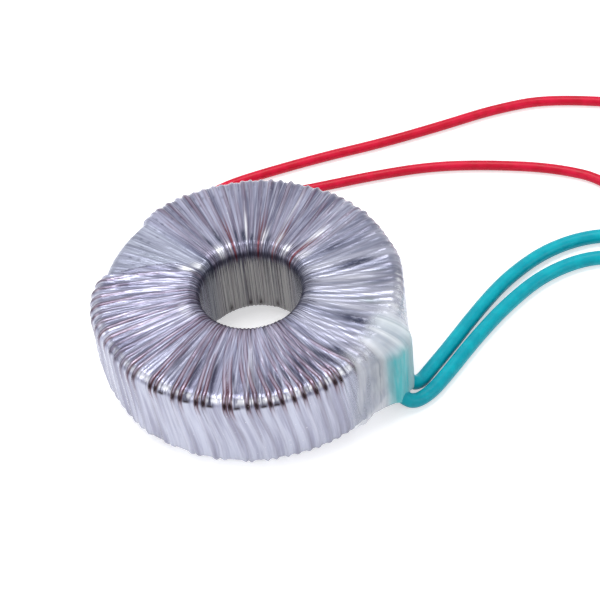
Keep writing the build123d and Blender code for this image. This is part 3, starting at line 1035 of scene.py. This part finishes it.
def lead_tape(name, pair, laps, top, shoulder, tag):
    """A strip over a pair of leads, from one lap round to the other. A shoulder closes it over the top."""
    angles = [routes[lead_name][2] for lead_name in pair]
    first, last = min(angles), max(angles)
    low_edge, high_edge = first - landing_width, last + landing_width
    let_go()
    bpy.ops.mesh.primitive_grid_add(x_subdivisions=170, y_subdivisions=90 if shoulder else 60, size=1)
    tape = bpy.context.object
    tape.name = name
    flat_places = points_of(tape.data)
    share, rise = flat_places[:, 0] + 0.5, flat_places[:, 1] + 0.5
    direction = laps[0] + (laps[1] - laps[0]) * share
    known = np.linspace(laps[0], laps[1], 240)
    reach = np.maximum(outline_radius(known, tape_circles(pair, (low_edge, high_edge))), 40.12)
    out = np.interp(direction, known, reach)
    over = plateau(direction, (low_edge - 2, low_edge + 3), (high_edge - 3, high_edge + 2))
    maker = np.random.default_rng(tag)
    wrinkle = np.zeros(len(direction))
    for _ in range(12):
        wave = maker.uniform(0.2, 1.9) * direction + maker.uniform(-6, 6) * rise
        wrinkle += np.sin(wave + maker.random() * whole_wave)
    bottom = 2.6 + 1.6 * over + 0.25 * np.sin(direction * 0.9)

    # Up the wall first, then inwards: over the ring's corner and onto its top, or just back to the wall
    wall_share = 0.55 if shoulder else 0.72
    end_radius, end_height, flat_run = (34.9, 25.12, 4.5) if shoulder else (40.14, top + 2.4, 0.0)
    up = bottom + (top - bottom) * np.clip(rise / wall_share, 0, 1)
    lay_over = np.clip((rise - wall_share) / (1 - wall_share), 0, 1)
    bend = np.clip(lay_over / (0.55 if shoulder else 1.0), 0, 1) * math.pi / 2
    bent = rise > wall_share
    out_way, up_way = np.cos(bend), np.sin(bend)
    out_now = np.where(bent, end_radius + (out - end_radius) * out_way, out)
    out_now = out_now - np.clip((lay_over - 0.55) / 0.45, 0, 1) * flat_run
    up = np.where(bent, top + (end_height - top) * up_way, up)
    dent = 0.07 * wrinkle / 3.4
    out_now = out_now + dent * out_way
    up = up + np.maximum(dent, -0.02) * up_way
    set_points(tape.data, ring_places(out_now, np.radians(direction), up) * MM)

    # Hazy over the leads and beside the first of them, clear at both laps and on the ring's top
    edge = plateau(direction, (laps[0], laps[0] + 9), (laps[1] - 9, laps[1]))
    near_leads = plateau(direction, (low_edge, first - 4), (last + 4, last + 11))
    hazy = plateau(direction, (laps[0] + 2, laps[0] + 12), (last + 6, laps[1] - 2))
    if shoulder:
        near_leads = near_leads * (1 - smooth_step(0.35, 0.8, lay_over))
    thin_haze = edge * (0.10 + 0.30 * hazy) * (1 - smooth_step(0.0, 0.8, lay_over))
    haze_here = np.maximum(thin_haze, (0.66 - 0.18 * smooth_step(0.1, 0.4, lay_over)) * near_leads)
    tint_first = np.exp(-((direction - angles[0] + 0.8) / 4.3) ** 4)
    tint_rest = plateau(direction, (angles[0] + 1, angles[0] + 4), (last + 2, last + 6))
    mark(tape.data, "haze", np.clip(haze_here, 0, 0.9))
    mark(tape.data, "first_lead", tint_first * (1 - smooth_step(top - 0.5, top + 3.0, up)))
    tint_rest = np.maximum(tint_rest, 0.5 * tint_first)
    mark(tape.data, "rest_lead", tint_rest * (1 - 0.8 * smooth_step(top - 4, 25, up)))
    mark(tape.data, "stretch", np.stack([direction * 0.7, up, np.zeros(len(up))], 1), "FLOAT_VECTOR")
    take(tape)
    wall = tape.modifiers.new("wall", "SOLIDIFY")
    wall.thickness = 0.08 * MM
    wall.offset = 1
    bpy.ops.object.modifier_apply(modifier="wall")
    bpy.ops.object.shade_smooth()
    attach(tape, "root")
    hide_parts(name.replace("_film", "_tape"))
    return tape


teal_tape = lead_tape("teal_lead_film", ("teal_lead_a", "teal_lead_b"), (-61.0, -7.0), 20.5, True, 4)
red_tape = lead_tape("red_lead_film", ("red_lead_a", "red_lead_b"), (98.0, 134.0), 15.2, False, 6)

# %% [markdown]
# ## Finishes of the leads
#
# Soft PVC has a satin skin with faint mottling in its colour and its gloss. The pattern sits on Object
# coordinates, so it stays in place on each lead.


# %% Finish of soft insulation
def soft_insulation(name, dark, light):
    material, tree = new_material(name)
    mottle = stretched_noise(tree, object_place(tree), (1, 1, 1), 260, 4)
    grain = stretched_noise(tree, object_place(tree), (1, 1, 1), 2600, 2)
    surface(tree, {
        "Base Color": coats(tree, dark, (ramp(tree, mottle, 0.35, 0.68), light)),
        "Roughness": ramp(tree, mottle, 0.3, 0.7, 0.3, 0.42),
        "IOR": 1.3, "Normal": bumped(tree, grain, 0.12, 0.0002),
    })
    return material


teal_skin = soft_insulation("teal_insulation", (0.0, 0.35, 0.44), (0.0, 0.43, 0.51))
red_skin = soft_insulation("red_insulation", (0.56, 0.003, 0.025), (0.70, 0.006, 0.045))
for name, piece in jackets.items():
    piece.data.materials.append(teal_skin if name.startswith("teal") else red_skin)

# %% Finish of clear tape
def clear_tape(name, tint):
    """Clear film that is hazy where it is marked so, and takes a tint from the leads close beneath."""
    material, tree = new_material(name)
    stretch = attribute(tree, "stretch", "Vector")
    clouds = stretched_noise(tree, stretch, (1, 0.16, 1), 0.35, 3)
    folds = stretched_noise(tree, stretch, (1, 0.06, 1), 1.1, 3)
    paler = tuple(0.45 * part + 0.45 for part in tint)
    colour = coats(
        tree, (0.66, 0.69, 0.78),
        (ramp(tree, clouds, 0.35, 0.65), (0.93, 0.95, 0.99)),
        (times(tree, ramp(tree, folds, 0.58, 0.68), 0.5), (0.40, 0.44, 0.48)),
        (times(tree, attribute(tree, "rest_lead"), 0.8), paler),
        (times(tree, attribute(tree, "first_lead"), ramp(tree, folds, 0.34, 0.70, 1.0, 0.7)), tint),
    )
    cover = ramp(tree, clouds, 0.3, 0.65, 0.85, 1.1)
    surface(tree, {
        "Base Color": colour, "Roughness": 0.22, "IOR": 1.4,
        "Alpha": times(tree, attribute(tree, "haze"), cover, True),
        "Normal": bumped(tree, folds, 0.3, 0.0003),
    })
    return material


teal_tape.data.materials.append(clear_tape("tape_on_teal", (0.09, 0.70, 0.74)))
red_tape.data.materials.append(clear_tape("tape_on_red", (0.70, 0.12, 0.16)))

# %% [markdown]
# ## Finishes of the solids that stay
#
# Under the film lie the core, its caps, the tapes and the windings, and each joint has its sleeve. They
# are hardly seen, but each gets the finish of the real thing: steel strip with its fine turns, matt
# moulded caps, amber tape, enamelled copper, and shrunk sleeving in the lead's own colour.


# %% Finishes of the solids
def plain_finish(name, dark, light, size, stretch, roughness, metallic=0.0):
    """A finish with two tones of one colour in a stretched noise, and a bump from the same noise."""
    material, tree = new_material(name)
    tone = stretched_noise(tree, object_place(tree), (1, 1, stretch), size, 4)
    surface(tree, {
        "Base Color": coats(tree, dark, (ramp(tree, tone, 0.35, 0.65), light)),
        "Roughness": roughness, "Metallic": metallic, "Normal": bumped(tree, tone, 0.25, 0.0002),
    })
    return material


steel = plain_finish("strip_steel", (0.30, 0.30, 0.32), (0.48, 0.48, 0.50), 900, 0.05, 0.35, 1.0)
moulding = plain_finish("moulded_cap", (0.02, 0.02, 0.022), (0.035, 0.035, 0.038), 1500, 1, 0.6)
amber = plain_finish("amber_tape", (0.52, 0.42, 0.16), (0.66, 0.56, 0.24), 500, 0.1, 0.3)
copper = plain_finish("enamelled_copper", (0.22, 0.05, 0.03), (0.42, 0.12, 0.06), 1200, 0.05, 0.28, 0.7)
teal_sleeving = plain_finish("teal_sleeving", (0.0, 0.28, 0.34), (0.01, 0.38, 0.44), 700, 0.3, 0.4)
red_sleeving = plain_finish("red_sleeving", (0.50, 0.01, 0.03), (0.66, 0.02, 0.05), 700, 0.3, 0.4)
finishes = {
    "core": steel, "core_cap_top": moulding, "core_cap_bottom": moulding,
    "core_wrap": amber, "interlayer_wrap": amber,
    "primary_winding": copper, "secondary_winding": copper,
    "teal_lead_a_sleeve": teal_sleeving, "teal_lead_b_sleeve": teal_sleeving,
    "red_lead_a_sleeve": red_sleeving, "red_lead_b_sleeve": red_sleeving,
}
for node, finish in finishes.items():
    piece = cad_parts[node]
    piece.data.materials.clear()
    piece.data.materials.append(finish)

# %% Finish of tinned strands
tinned, tree = new_material("tinned_strands")
dull = stretched_noise(tree, object_place(tree), (1, 1, 1), 900, 4)
surface(tree, {
    "Base Color": coats(tree, (0.62, 0.62, 0.60), (ramp(tree, dull, 0.4, 0.65), (0.42, 0.42, 0.41))),
    "Metallic": 1.0, "Roughness": ramp(tree, dull, 0.35, 0.7, 0.2, 0.42),
})
for tip in tips.values():
    tip.data.materials.append(tinned)
